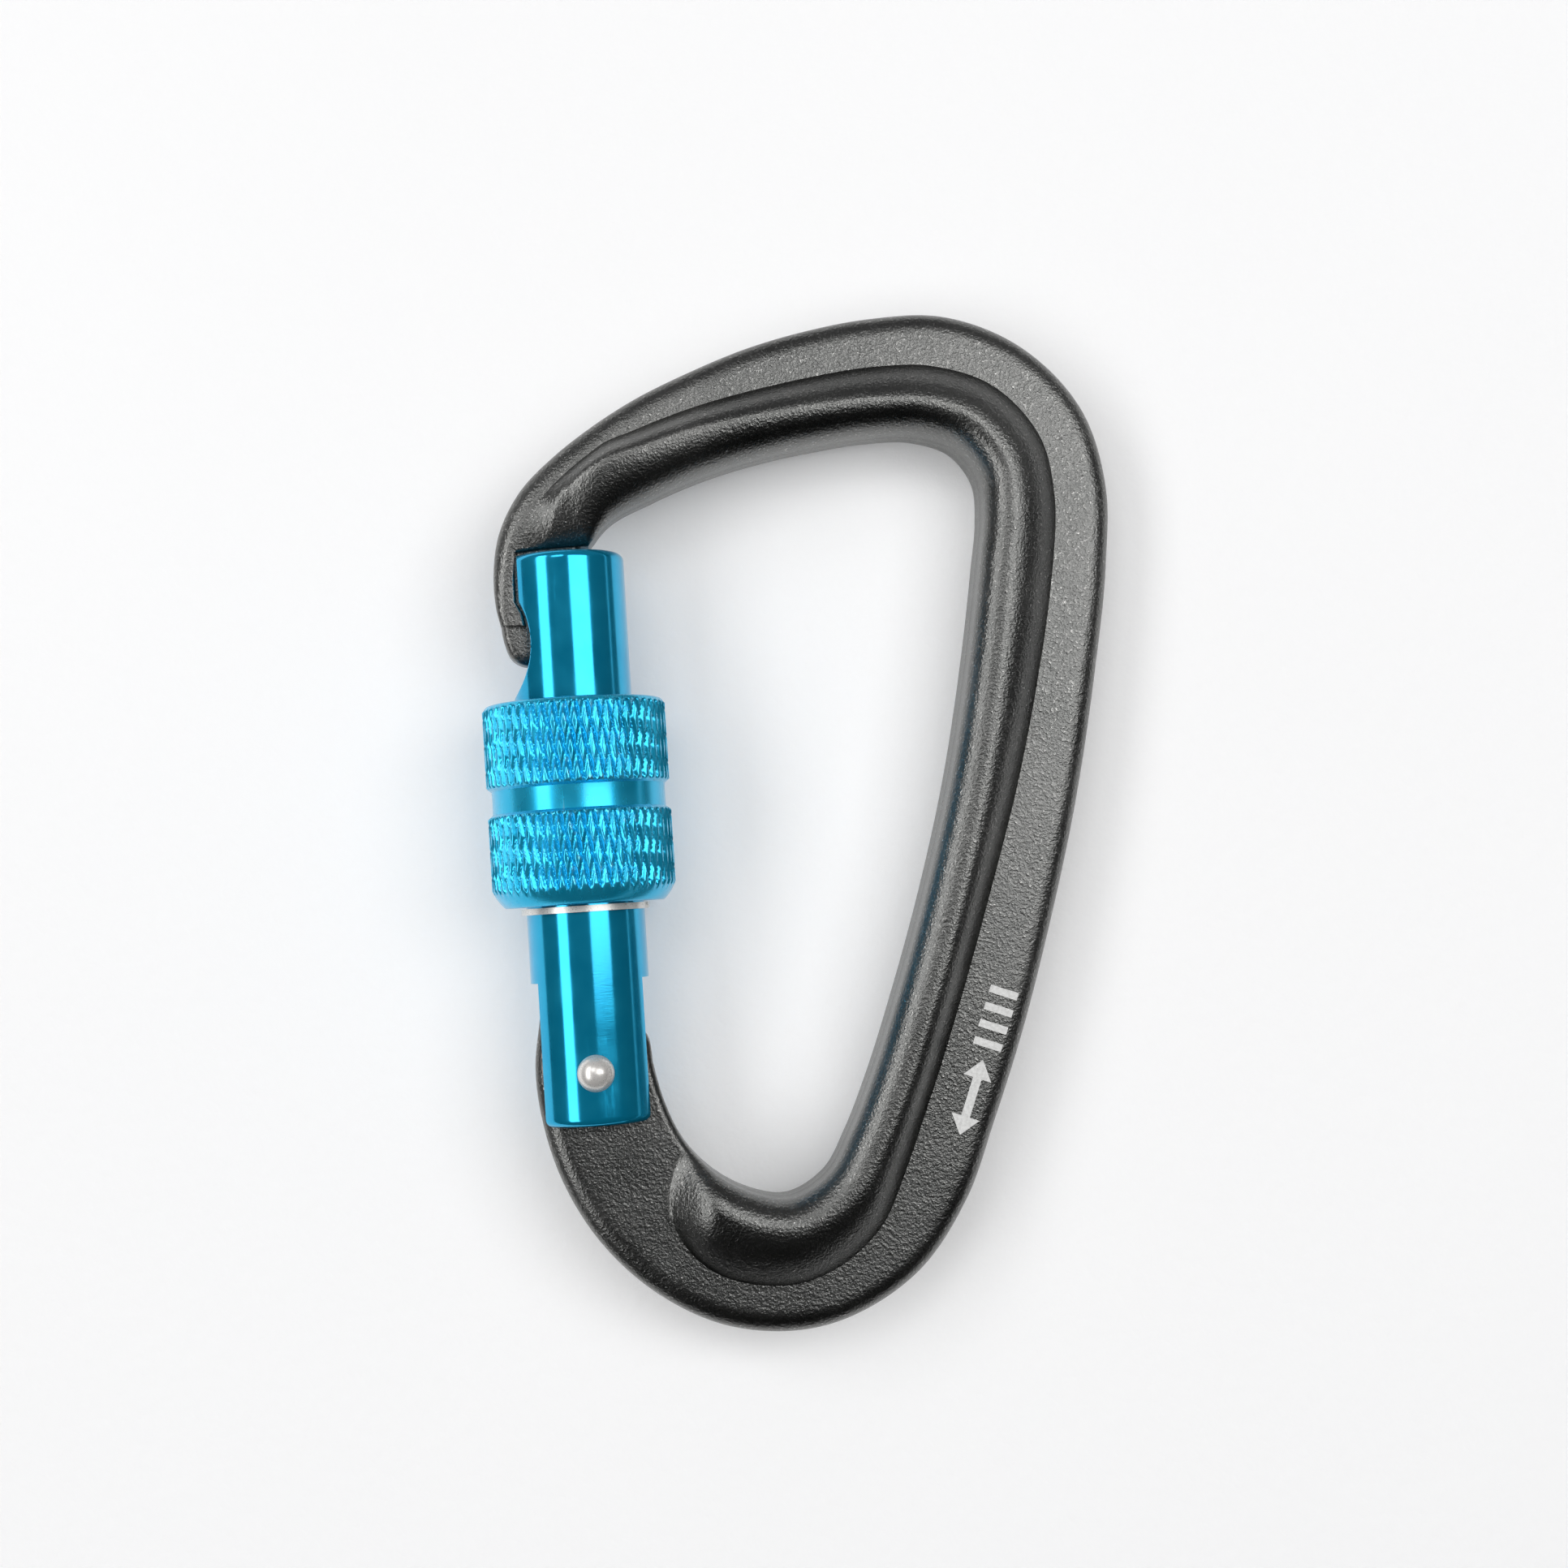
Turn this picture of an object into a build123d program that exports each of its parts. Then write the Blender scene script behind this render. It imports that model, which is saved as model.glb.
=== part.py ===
# Locking carabiner: a small screw-gate connector in forged and turned aluminium.
# It lies flat. +Z is through its thickness, +Y runs along the closed gate from the
# hinge to the nose, +X points to the spine. Sizes are in millimetres.
# Everything is drawn about the hinge pin first and then moved so that the origin
# is the centre of the whole carabiner.
from build123d import *
from math import cos, sin, radians
import os

# forged body
FLANGE_HALF = 2.1        # half thickness of the flat outer flange and of the hinge tang
RIB_HALF = 4.4           # half thickness of the rounded rope-bearing rib
RIB_WIDTH = 6.3          # window edge to the foot of the rib
LAND_PROUD = 0.2         # rib stands this far into the window past the flange edge
RIB_STATIONS = 24        # sections the rib is lofted through
RIM_RADIUS = 1.2         # rounding of the outside edge
WEB_HALF = 1.5           # half thickness of the nose web that enters the gate head
HEAD_SWEEP = 40.6        # radius about the hinge that clears the swinging gate head

# gate
GATE_RADIUS = 4.6
GATE_FOOT = -4.05        # lower end of the gate, measured along it from the hinge pin
GATE_TOP = 40.2
FORK_HALF = 2.25         # half width of the fork slot over the tang
FORK_ROOF = 7.0
SLOT_HALF = 1.65         # half width of the slot in the gate head
SLOT_FLOOR = 31.2
SLOT_WALL = 1.4
HEAD_FLAT = 3.75         # flat on the nose side of the head
SCOOP_RADIUS = 6.7       # scoop under the head that the nose hooks into
SCOOP_X = -9.7
SCOOP_Y = 33.4
BORE_RADIUS = 2.25       # spring bore
BORE_END = 25.0

# return mechanism
CAM_START = 4.4          # spiral tang: radius under the plunger with the gate closed
CAM_RISE = 3.0           # mm of plunger travel per radian of gate swing
PLUNGER_RADIUS = 2.2
PLUNGER_GAP = 0.24
PLUNGER_BACK = 11.0
SPRING_RADIUS = 1.68     # to the middle of the wire
WIRE_RADIUS = 0.24
SPRING_PITCH = 1.45

# hinge rivet
PIN_RADIUS = 1.25
HEAD_RADIUS = 1.42
HEAD_HEIGHT = 1.05

# sleeve and rings
SLEEVE_RADIUS = 7.15
SLEEVE_BOTTOM = 12.9
SLEEVE_TOP = 28.65
SLEEVE_BORE = 4.7
SLEEVE_MOUTH = 6.2       # counterbore that slips over the nose when the sleeve is up
MOUTH_DEPTH = 7.4
WAIST_LOW = 20.0
WAIST_HIGH = 22.2
WAIST_RADIUS = 6.75
RING_RADIUS = 5.0        # split stop ring under the sleeve
RING_LOW = 12.30
RING_HIGH = 12.78
GROOVE_RADIUS = 4.15
DRAG_LOW = 17.0          # drag ring inside the sleeve
DRAG_HIGH = 18.2
DRAG_RADIUS = 5.35


def along_gate(radius, low, high):
    """Round bar on the gate axis between two stations."""
    return Pos(0, (low + high) / 2, 0) * Rot(90, 0, 0) * Cylinder(radius, high - low)


def block(x0, x1, y0, y1, z0, z1):
    """Box given by its six faces."""
    return Pos((x0 + x1) / 2, (y0 + y1) / 2, (z0 + z1) / 2) * Box(x1 - x0, y1 - y0, z1 - z0)


def slab(edges, half):
    """Closed outline extruded both ways from the middle plane."""
    return extrude(make_face(edges), amount=half, both=True)


def cam_point(turn):
    """Point of the spiral tang, turn in radians from the closed gate line."""
    r = CAM_START + CAM_RISE * turn
    return (r * sin(turn), r * cos(turn))


def window_curve():
    """Inside edge of the body from the hinge, round the bottom and spine, to the nose."""
    return Spline(
        (5.2, -2.8), (8.65, -8.4), (14.35, -10.78), (19.45, -6.05), (23.85, 4.45), (26.8, 13.0),
        (29.0, 20.5), (31.2, 30.25), (32.7, 38.8), (33.05, 44.9), (28.35, 48.25), (20.35, 47.85),
        (11.52, 45.95), (3.5, 42.5))


def body_outline():
    """Outline of the flat forged flange with its tang and hooked nose."""
    outer = Spline(
        (-5.25, 34.85), (-5.5, 39.8), (-2.1, 46.5), (7.1, 52.7), (18.2, 56.75), (28.5, 58.1),
        (38.7, 54.0), (43.35, 43.5), (42.1, 32.3), (38.6, 16.4), (33.8, 1.2), (28.2, -12.2),
        (22.1, -18.85), (14.0, -21.17), (6.0, -19.1), (-0.2, -13.4), (-3.8, -5.95), (-4.6, 1.0),
        (-4.0, 4.4))
    inner = window_curve()
    nose_end = (1.9, (HEAD_SWEEP ** 2 - 1.9 ** 2) ** 0.5)
    head_left = -HEAD_FLAT - 0.2
    nose_corner = (head_left, (HEAD_SWEEP ** 2 - head_left ** 2) ** 0.5)
    hook = SCOOP_RADIUS - 0.15
    hook_low = (SCOOP_X + (hook ** 2 - 1.3 ** 2) ** 0.5, SCOOP_Y + 1.3)
    hook_high = (head_left, SCOOP_Y + (hook ** 2 - (head_left - SCOOP_X) ** 2) ** 0.5)
    hook_mid = (SCOOP_X + (hook ** 2 - 2.3 ** 2) ** 0.5, SCOOP_Y + 2.3)
    cam = Spline(*[cam_point(t) for t in (0.0, 0.14, 0.28, 0.42, 0.54)])
    return [
        outer,
        Line(outer @ 1, cam_point(0.0)),
        cam,
        Spline(cam_point(0.54), (4.3, 2.6), (5.2, -2.8)),
        inner,
        Spline(inner @ 1, (2.6, 41.55), nose_end),
        ThreePointArc(nose_end, (0, HEAD_SWEEP), nose_corner),
        Line(nose_corner, hook_high),
        ThreePointArc(hook_high, hook_mid, hook_low),
        Line(hook_low, outer @ 0),
    ]


def rib_section(width, crest):
    """Half-round rib: flat inner land, round crest, slope falling to the flange."""
    land = 0.5 * crest
    ridge = 0.31 * width
    foot = FLANGE_HALF - 0.2
    fall = Spline((ridge, crest), (0.66 * width, 0.75 * crest), (width, foot),
                  tangents=[(1, 0), (1, -0.45)])
    rise = Spline((width, -foot), (0.66 * width, -0.75 * crest), (ridge, -crest),
                  tangents=[(-1, -0.45), (-1, 0)])
    return make_face([
        Line((-LAND_PROUD, -land), (-LAND_PROUD, land)),
        ThreePointArc((-LAND_PROUD, land), (0.07 * width, 0.84 * crest), (ridge, crest)),
        fall,
        Line((width, foot), (width, -foot)),
        rise,
        ThreePointArc((ridge, -crest), (0.07 * width, -0.84 * crest), (-LAND_PROUD, -land)),
    ])


def rope_rib():
    """Rib carried along the window edge; it swells in at the hinge end and thins at the nose."""
    path = window_curve()
    sections = []
    for i in range(RIB_STATIONS):
        u = 0.075 + 0.925 * i / (RIB_STATIONS - 1)
        swell = min(1.0, 0.72 + (u - 0.075) * 7.0)
        fade = min(1.0, 0.80 + (1.0 - u) * 1.4)
        grow = swell * fade
        tangent = path % u
        outward = Vector(tangent.Y, -tangent.X, 0)
        station = Plane(origin=path @ u, x_dir=outward, z_dir=tangent)
        sections.append(station * rib_section(RIB_WIDTH * grow, RIB_HALF * grow ** 0.7))
    return loft(sections)


def nose_web():
    """Thin rounded web that slides into the slot of the gate head."""
    edge = [
        Spline((-5.25, 36.0), (-5.15, 33.6), (-3.5, 31.75), (-1.2, 32.6), (0.9, 35.6)),
        Line((0.9, 35.6), (0.9, 42.2)),
        Line((0.9, 42.2), (-3.6, 42.2)),
        Spline((-3.6, 42.2), (-5.2, 39.0), (-5.25, 36.0)),
    ]
    return slab(edge, WEB_HALF)


def frame_body():
    """Forged body: flange, rope rib, hooked nose, hinge tang with its pin hole."""
    flange = slab(body_outline(), FLANGE_HALF)
    rim = [e for e in flange.edges().filter_by(GeomType.BSPLINE) if e.length > 120]
    rim = [e for e in rim if e.length > 140 and abs(abs((e @ 0.5).Z) - FLANGE_HALF) < 0.01]
    if rim:
        flange = fillet(rim, RIM_RADIUS)
    body = flange + rope_rib()
    body -= extrude(Circle(HEAD_SWEEP), amount=10, both=True) & block(-3.8, 12, 30, 42, -9, 9)
    body += nose_web()
    body -= Cylinder(PIN_RADIUS + 0.05, 20)
    return body


def gate_arm():
    """Turned gate: fork over the tang, spring bore, ring groove, slotted hook head."""
    gate = along_gate(GATE_RADIUS, GATE_FOOT, GATE_TOP)
    gate = chamfer(gate.edges().filter_by(GeomType.CIRCLE), 0.35)
    gate -= block(-6, 6, GATE_FOOT - 2, FORK_ROOF, -FORK_HALF, FORK_HALF)
    gate -= along_gate(BORE_RADIUS, FORK_ROOF - 1, BORE_END)
    gate -= hinge_rivet()
    gate -= along_gate(6, RING_LOW - 0.02, RING_HIGH + 0.02) - along_gate(GROOVE_RADIUS, 5, 20)
    slot = block(-8, SLOT_WALL, SLOT_FLOOR, GATE_TOP + 2, -SLOT_HALF, SLOT_HALF)
    gate -= slot
    gate -= block(-8, -HEAD_FLAT, SCOOP_Y, GATE_TOP + 2, -8, 8)
    gate -= Pos(SCOOP_X, SCOOP_Y, 0) * Cylinder(SCOOP_RADIUS, 20)
    return gate


def hinge_rivet():
    """Steel pin with a domed head on each side of the gate."""
    reach = GATE_RADIUS + HEAD_HEIGHT
    skirt = GATE_RADIUS - 0.25
    ball = (HEAD_RADIUS ** 2 + HEAD_HEIGHT ** 2) / (2 * HEAD_HEIGHT)
    mid = (0.7 * HEAD_RADIUS, reach - ball + (ball ** 2 - (0.7 * HEAD_RADIUS) ** 2) ** 0.5)
    half = make_face([
        Line((0, 0), (PIN_RADIUS, 0)),
        Line((PIN_RADIUS, 0), (PIN_RADIUS, skirt)),
        Line((PIN_RADIUS, skirt), (HEAD_RADIUS, GATE_RADIUS)),
        ThreePointArc((HEAD_RADIUS, GATE_RADIUS), mid, (0, reach)),
        Line((0, reach), (0, 0)),
    ])
    upper = revolve(Plane.XZ * half, Axis.Z)
    return upper + mirror(upper, Plane.XY)


def spring_plunger():
    """Blunt-pointed pusher that rides on the spiral tang, with a peg inside the spring."""
    tip = CAM_START + PLUNGER_GAP
    half = make_face(Polyline(
        (0, tip), (0.35, tip + 0.08), (0.62, tip + 0.28), (PLUNGER_RADIUS, tip + 1.7),
        (PLUNGER_RADIUS, PLUNGER_BACK), (1.1, PLUNGER_BACK), (1.1, PLUNGER_BACK + 1.6),
        (0.9, PLUNGER_BACK + 1.8), (0, PLUNGER_BACK + 1.8), close=True))
    return revolve(half, Axis.Y)


def gate_spring():
    """Coil spring between the plunger and the blind end of the gate bore."""
    low = PLUNGER_BACK + WIRE_RADIUS + 0.02
    high = BORE_END - WIRE_RADIUS - 0.02
    coil = Helix(pitch=SPRING_PITCH, height=high - low, radius=SPRING_RADIUS)
    ring = Plane(origin=coil @ 0, z_dir=coil % 0) * Circle(WIRE_RADIUS)
    wire = sweep(ring, path=coil, is_frenet=True)
    return Pos(0, low, 0) * Rot(-90, 0, 0) * wire


def stop_ring():
    """Split steel ring sprung into the groove below the sleeve."""
    ring = along_gate(RING_RADIUS, RING_LOW, RING_HIGH)
    ring -= along_gate(GROOVE_RADIUS, RING_LOW - 1, RING_HIGH + 1)
    return ring - block(2.0, 7.0, RING_LOW - 1, RING_HIGH + 1, 1.3, 2.0)


def lock_sleeve():
    """Screw sleeve: two grip bands, waist, tapered foot, wide mouth for the nose."""
    foot = SLEEVE_BOTTOM + 1.2
    mouth = SLEEVE_TOP - MOUTH_DEPTH
    half = make_face(Polyline(
        (SLEEVE_BORE, SLEEVE_BOTTOM), (SLEEVE_RADIUS - 1.0, SLEEVE_BOTTOM),
        (SLEEVE_RADIUS, foot), (SLEEVE_RADIUS, WAIST_LOW), (WAIST_RADIUS, WAIST_LOW + 0.25),
        (WAIST_RADIUS, WAIST_HIGH - 0.25), (SLEEVE_RADIUS, WAIST_HIGH),
        (SLEEVE_RADIUS, SLEEVE_TOP - 0.35), (SLEEVE_RADIUS - 0.35, SLEEVE_TOP),
        (SLEEVE_MOUTH, SLEEVE_TOP), (SLEEVE_MOUTH, mouth), (SLEEVE_BORE, mouth - 1.2),
        (SLEEVE_BORE, DRAG_HIGH + 0.1), (DRAG_RADIUS + 0.05, DRAG_HIGH + 0.1),
        (DRAG_RADIUS + 0.05, DRAG_LOW - 0.1), (SLEEVE_BORE, DRAG_LOW - 0.1), close=True))
    return revolve(half, Axis.Y)


def drag_ring():
    """Plastic drag ring held in the sleeve; it slides up the gate without turning."""
    ring = along_gate(DRAG_RADIUS, DRAG_LOW, DRAG_HIGH)
    return ring - along_gate(GATE_RADIUS + 0.04, DRAG_LOW - 1, DRAG_HIGH + 1)


nodes = {
    "frame_body": frame_body(),
    "gate_arm": gate_arm(),
    "hinge_rivet": hinge_rivet(),
    "spring_plunger": spring_plunger(),
    "gate_spring": gate_spring(),
    "stop_ring": stop_ring(),
    "lock_sleeve": lock_sleeve(),
    "drag_ring": drag_ring(),
}
whole = Compound(children=[shape.solids()[0] for shape in nodes.values()]).bounding_box()
middle = whole.center()
os.makedirs("parts", exist_ok=True)
for name, shape in nodes.items():
    solids = shape.solids()
    box = solids[0].bounding_box()
    print(name, len(solids), round(solids[0].volume, 1), box.min, box.max)
    export_step(Pos(-middle.X, -middle.Y, -middle.Z) * solids[0], "parts/" + name + ".step")
print("hinge pin at", -middle.X, -middle.Y, "overall", whole.size)
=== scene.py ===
import bpy
import math
import numpy as np
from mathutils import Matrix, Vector


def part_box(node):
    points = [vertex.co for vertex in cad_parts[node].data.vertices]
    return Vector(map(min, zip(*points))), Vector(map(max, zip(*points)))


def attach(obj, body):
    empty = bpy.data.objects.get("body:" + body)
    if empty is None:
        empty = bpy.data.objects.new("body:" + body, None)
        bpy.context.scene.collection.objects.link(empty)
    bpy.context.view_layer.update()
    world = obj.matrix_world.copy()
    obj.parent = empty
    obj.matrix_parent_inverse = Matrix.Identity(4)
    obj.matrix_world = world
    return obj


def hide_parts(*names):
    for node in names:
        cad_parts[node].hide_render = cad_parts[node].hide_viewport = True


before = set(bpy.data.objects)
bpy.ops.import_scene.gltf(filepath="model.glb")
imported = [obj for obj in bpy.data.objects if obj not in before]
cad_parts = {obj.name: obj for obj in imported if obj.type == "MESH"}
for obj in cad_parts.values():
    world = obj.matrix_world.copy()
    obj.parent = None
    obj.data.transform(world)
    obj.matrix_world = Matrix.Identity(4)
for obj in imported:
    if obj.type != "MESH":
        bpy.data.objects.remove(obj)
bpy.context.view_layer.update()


# ---------------------------------------------------------------------------
# Forged body. One bar of aluminium alloy, hot forged to a flat flange with a
# round rope rib along the inside, trimmed, tumbled, bead blasted and anodised
# dark grey. The nose and the hinge tang are part of it.
# ---------------------------------------------------------------------------
pin_low, pin_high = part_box("hinge_rivet")
PIN = (pin_low + pin_high) / 2          # hinge pin, the point the body is drawn from
sleeve_low, sleeve_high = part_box("lock_sleeve")

# Matching points on the window edge and on the outside edge, millimetres from the pin.
BODY_STATIONS = np.array([
    (-3.30, 34.72, -5.25, 34.85), (-3.47, 35.70, -5.50, 36.00), (-3.95, 36.55, -5.62, 37.40),
    (-3.95, 38.50, -5.55, 39.40), (-3.95, 40.42, -5.10, 41.80), (-1.00, 40.62, -3.40, 45.10),
    (1.90, 40.70, -0.30, 48.10), (3.50, 42.50, 2.20, 49.90), (7.12, 44.30, 5.90, 52.10),
    (11.52, 45.95, 10.60, 54.20), (15.90, 47.08, 15.20, 55.88), (20.35, 47.85, 20.10, 57.10),
    (24.45, 48.32, 25.20, 57.85), (28.35, 48.25, 31.00, 57.80), (31.45, 47.05, 37.00, 55.25),
    (33.03, 44.72, 41.90, 49.65), (33.15, 41.62, 43.38, 43.40), (32.60, 38.00, 42.95, 37.40),
    (31.20, 30.25, 41.38, 28.50), (29.00, 20.50, 38.95, 17.80), (26.80, 13.00, 36.35, 8.90),
    (23.85, 4.45, 33.42, 0.20), (21.20, -2.30, 30.90, -6.10), (19.45, -6.05, 28.30, -12.00),
    (17.45, -9.20, 24.20, -17.25), (14.35, -10.78, 16.20, -20.98), (11.35, -10.10, 8.90, -20.30),
    (8.65, -8.40, 3.60, -17.35), (6.60, -6.00, -0.40, -13.20), (5.20, -2.80, -2.85, -8.80),
    (4.50, 0.20, -4.25, -3.90), (4.20, 2.40, -4.60, 0.60), (2.60, 4.30, -4.05, 4.25)])
NOSE_STATIONS = 6       # the window edge runs in straight lines up to this station
FLANGE_HALF = 2.1       # half thickness of the flat flange
CREST_HALF = 4.4        # half thickness at the crest of the rib

# Rib along the body: at these stations, how far its crest and its foot stand from the window.
RIB_STATIONS = (4, 5, 6, 7, 8, 10, 12, 15, 17, 18, 19, 20, 22, 23, 24, 25, 26)
RIB_CREST = (2.0, 3.3, 4.7, 4.1, 3.6, 2.8, 2.4, 2.1, 2.1, 2.25, 2.4, 2.5, 2.5, 2.4, 2.3, 2.3, 2.3)
RIB_WIDTH = (2.8, 4.4, 6.2, 5.7, 5.4, 5.2, 5.4, 5.8, 5.9, 5.7, 5.2, 4.9, 4.8, 5.0, 5.8, 6.6, 6.9)


def curve_through(points, at):
    """Cubic Hermite curve through points; slopes are chord-weighted centred differences."""
    gap = np.linalg.norm(np.diff(points, axis=0), axis=1)
    slope = np.diff(points, axis=0) / gap[:, None]
    mid = (slope[:-1] * gap[1:, None] + slope[1:] * gap[:-1, None]) / (gap[1:] + gap[:-1])[:, None]
    tangent = np.vstack([slope[:1], mid, slope[-1:]])
    k = np.clip(at.astype(int), 0, len(gap) - 1)
    t = (at - k)[:, None]
    g = gap[k][:, None]
    return ((2 * t ** 3 - 3 * t ** 2 + 1) * points[k] + (t ** 3 - 2 * t ** 2 + t) * g * tangent[k]
            + (3 * t ** 2 - 2 * t ** 3) * points[k + 1] + (t ** 3 - t ** 2) * g * tangent[k + 1])


def smooth_step(x):
    """3x^2 - 2x^3 between 0 and 1."""
    x = np.clip(x, 0.0, 1.0)
    return x * x * (3 - 2 * x)


def eased(at, sizes):
    """Size along the rib: straight lines between its stations, averaged over 1.2 stations."""
    return np.mean([np.interp(at + shift, RIB_STATIONS, sizes)
                    for shift in np.linspace(-0.6, 0.6, 9)], axis=0)


def grid_mesh(rows, closed_rows=False):
    """Vertices, quads and triangles from an array (rows, around, 3). Each row is a closed loop;
    the first and last loops are closed with a fan about their middle point, or joined to each
    other. Where the enclosed volume comes out negative every face is turned round."""
    count, around = rows.shape[:2]
    verts = rows.reshape(-1, 3)
    i, j = np.meshgrid(np.arange(count if closed_rows else count - 1), np.arange(around),
                       indexing="ij")
    a = i * around + j
    b = i * around + (j + 1) % around
    c = ((i + 1) % count) * around + (j + 1) % around
    d = ((i + 1) % count) * around + j
    quads = np.stack([a, b, c, d], axis=-1).reshape(-1, 4)
    fans = np.zeros((0, 3), int)
    first, second, third, fourth = (verts[quads[:, n]] for n in range(4))
    volume = np.einsum("ij,ij->", first, np.cross(second, third) + np.cross(third, fourth))
    if not closed_rows:
        start = len(verts)
        verts = np.vstack([verts, rows[0].mean(axis=0), rows[-1].mean(axis=0)])
        ring = np.arange(around)
        turn = (ring + 1) % around
        last = (count - 1) * around
        fans = np.vstack([np.stack([turn, ring, np.full(around, start)], 1),
                          np.stack([last + ring, last + turn, np.full(around, start + 1)], 1)])
    if volume < 0:
        quads, fans = quads[:, ::-1], fans[:, ::-1]
    return verts, quads, fans


def piece_from(name, shells, crease=40):
    """One mesh object from closed shells (vertices, quads, triangles) in millimetres from the
    pin. Edges that turn more than crease degrees stay sharp."""
    verts = np.vstack([shell[0] for shell in shells])
    faces = []
    base = 0
    for shell_verts, quads, fans in shells:
        faces += (quads + base).tolist() + (fans + base).tolist()
        base += len(shell_verts)
    mesh = bpy.data.meshes.new(name)
    mesh.from_pydata((verts * 0.001 + np.array(PIN)).tolist(), [], faces)
    mesh.update()
    mesh.shade_smooth()
    mesh.set_sharp_from_angle(angle=math.radians(crease))
    piece = bpy.data.objects.new(name, mesh)
    bpy.context.scene.collection.objects.link(piece)
    return piece


def body_rows(per_station=18):
    """Section loop carried round the body. Across each station line the upper side is: land up
    the window edge, quarter ellipse to the crest, slope that steepens down to the flat, flat,
    quarter ellipse for the rim. The outside wall and a mirror of the upper side close the loop.
    Along the body the rib closes in a quarter ellipse at the hinge end and sinks to the flat,
    with smooth steps, at both ends."""
    last = len(BODY_STATIONS) - 1
    at = np.linspace(0, last, last * per_station + 1)
    outer = curve_through(BODY_STATIONS[:, 2:], at)
    soft = curve_through(BODY_STATIONS[NOSE_STATIONS:, :2],
                         np.clip(at - NOSE_STATIONS, 0, last - NOSE_STATIONS))
    k = np.clip(at.astype(int), 0, NOSE_STATIONS - 1)
    t = (at - k)[:, None]
    sharp = BODY_STATIONS[k, :2] * (1 - t) + BODY_STATIONS[k + 1, :2] * t
    inner = np.where(at[:, None] < NOSE_STATIONS, sharp, soft)
    across = outer - inner
    width = np.linalg.norm(across, axis=1)[:, None]
    across = across / width

    # where the rib fades at each end, counted in stations, and the low swell of the nose
    rib_closes, closing_length = 25.9, 2.0
    hinge_fade, hinge_length = 28.0, 1.4
    nose_fade, nose_length = 4.2, 3.8
    swell_high, swell_at, swell_length = 0.20, 6.0, 1.8
    closing = np.clip((at - rib_closes) / closing_length, 0, 1)
    grow = np.sqrt(np.clip(1 - closing ** 2, 0, 1))
    lift = (smooth_step((hinge_fade - at) / hinge_length)
            * smooth_step((at - nose_fade) / nose_length))[:, None]
    crest_in = grow * eased(at, RIB_CREST)
    rib_wide = (grow * eased(at, RIB_WIDTH))[:, None] + 0.02
    rib_high = FLANGE_HALF + (CREST_HALF - FLANGE_HALF) * lift
    swell = swell_high * np.exp(-((at - swell_at) / swell_length) ** 2)[:, None]

    # rounding of the rim and of the window edge, height of the land, foot of the rib
    rim = (0.55 + 0.75 * smooth_step(at / 5.0) - 0.25 * smooth_step((at - 29) / 2))[:, None]
    roll_wide = rim * 1.35
    edge = (0.30 + 0.40 * smooth_step((at - 4) / 3))[:, None]
    carry = smooth_step(2.2 * lift)
    ridge = edge * (1 - carry) + crest_in[:, None] * carry
    land_share = np.interp(at, (13, 17), (0.34, 0.52))[:, None]
    land_top = (rib_high - edge) * (1 - lift) + land_share * rib_high * lift
    foot = np.minimum(np.maximum(rib_wide, ridge + 0.4), width - roll_wide - 0.15)
    ridge = np.minimum(ridge, foot - 0.1)

    # the five stretches of the upper side: distance from the window edge, and height; inside
    # goes 0 to 1 over the crest and back to 0 over the rim, and carries the swell of the nose
    land = np.linspace(0, 1, 7)[None, :-1]
    arc = np.linspace(0, np.pi / 2, 13)[None, :-1]
    fall = np.linspace(0, 1, 17)[None, :-1]
    flat = np.linspace(0, 1, 7)[None, :-1]
    roll = np.linspace(0, np.pi / 2, 11)[None, :]
    trim = 0.05 * np.exp(-(land_top * land / 0.35) ** 2) * lift       # raised line where the dies met
    shoulder = np.concatenate([
        -trim,
        ridge * (1 - np.cos(arc)),
        ridge + (foot - ridge) * fall,
        foot + (width - roll_wide - foot) * flat,
        width - roll_wide + roll_wide * np.sin(roll)], axis=1)
    height = np.concatenate([
        land_top * land,
        land_top + (rib_high - land_top) * np.sin(arc),
        FLANGE_HALF + (rib_high - FLANGE_HALF) * (1 - 0.10 * fall - 0.90 * fall ** 1.9),
        np.full((len(at), flat.size), FLANGE_HALF),
        FLANGE_HALF - rim + rim * np.cos(roll)], axis=1)
    inside = np.concatenate([0 * land, arc * 2 / np.pi, 1 + 0 * fall, 1 + 0 * flat,
                             1 - roll * 2 / np.pi], axis=1)
    height = height + swell * inside * np.sin(np.pi * np.clip(shoulder / width, 0, 1))

    upper = np.stack([inner[:, None, 0] + across[:, None, 0] * shoulder,
                      inner[:, None, 1] + across[:, None, 1] * shoulder, height], axis=-1)
    lower = upper[:, 1:-1][:, ::-1] * np.array([1, 1, -1])
    wall = upper[:, -1:, :] * np.array([1, 1, 0]) + np.array([0, 0, 1]) * (
        upper[:, -1:, 2:] * np.linspace(1, -1, 6)[None, 1:, None])
    return np.concatenate([upper, wall, lower], axis=1)


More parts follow.
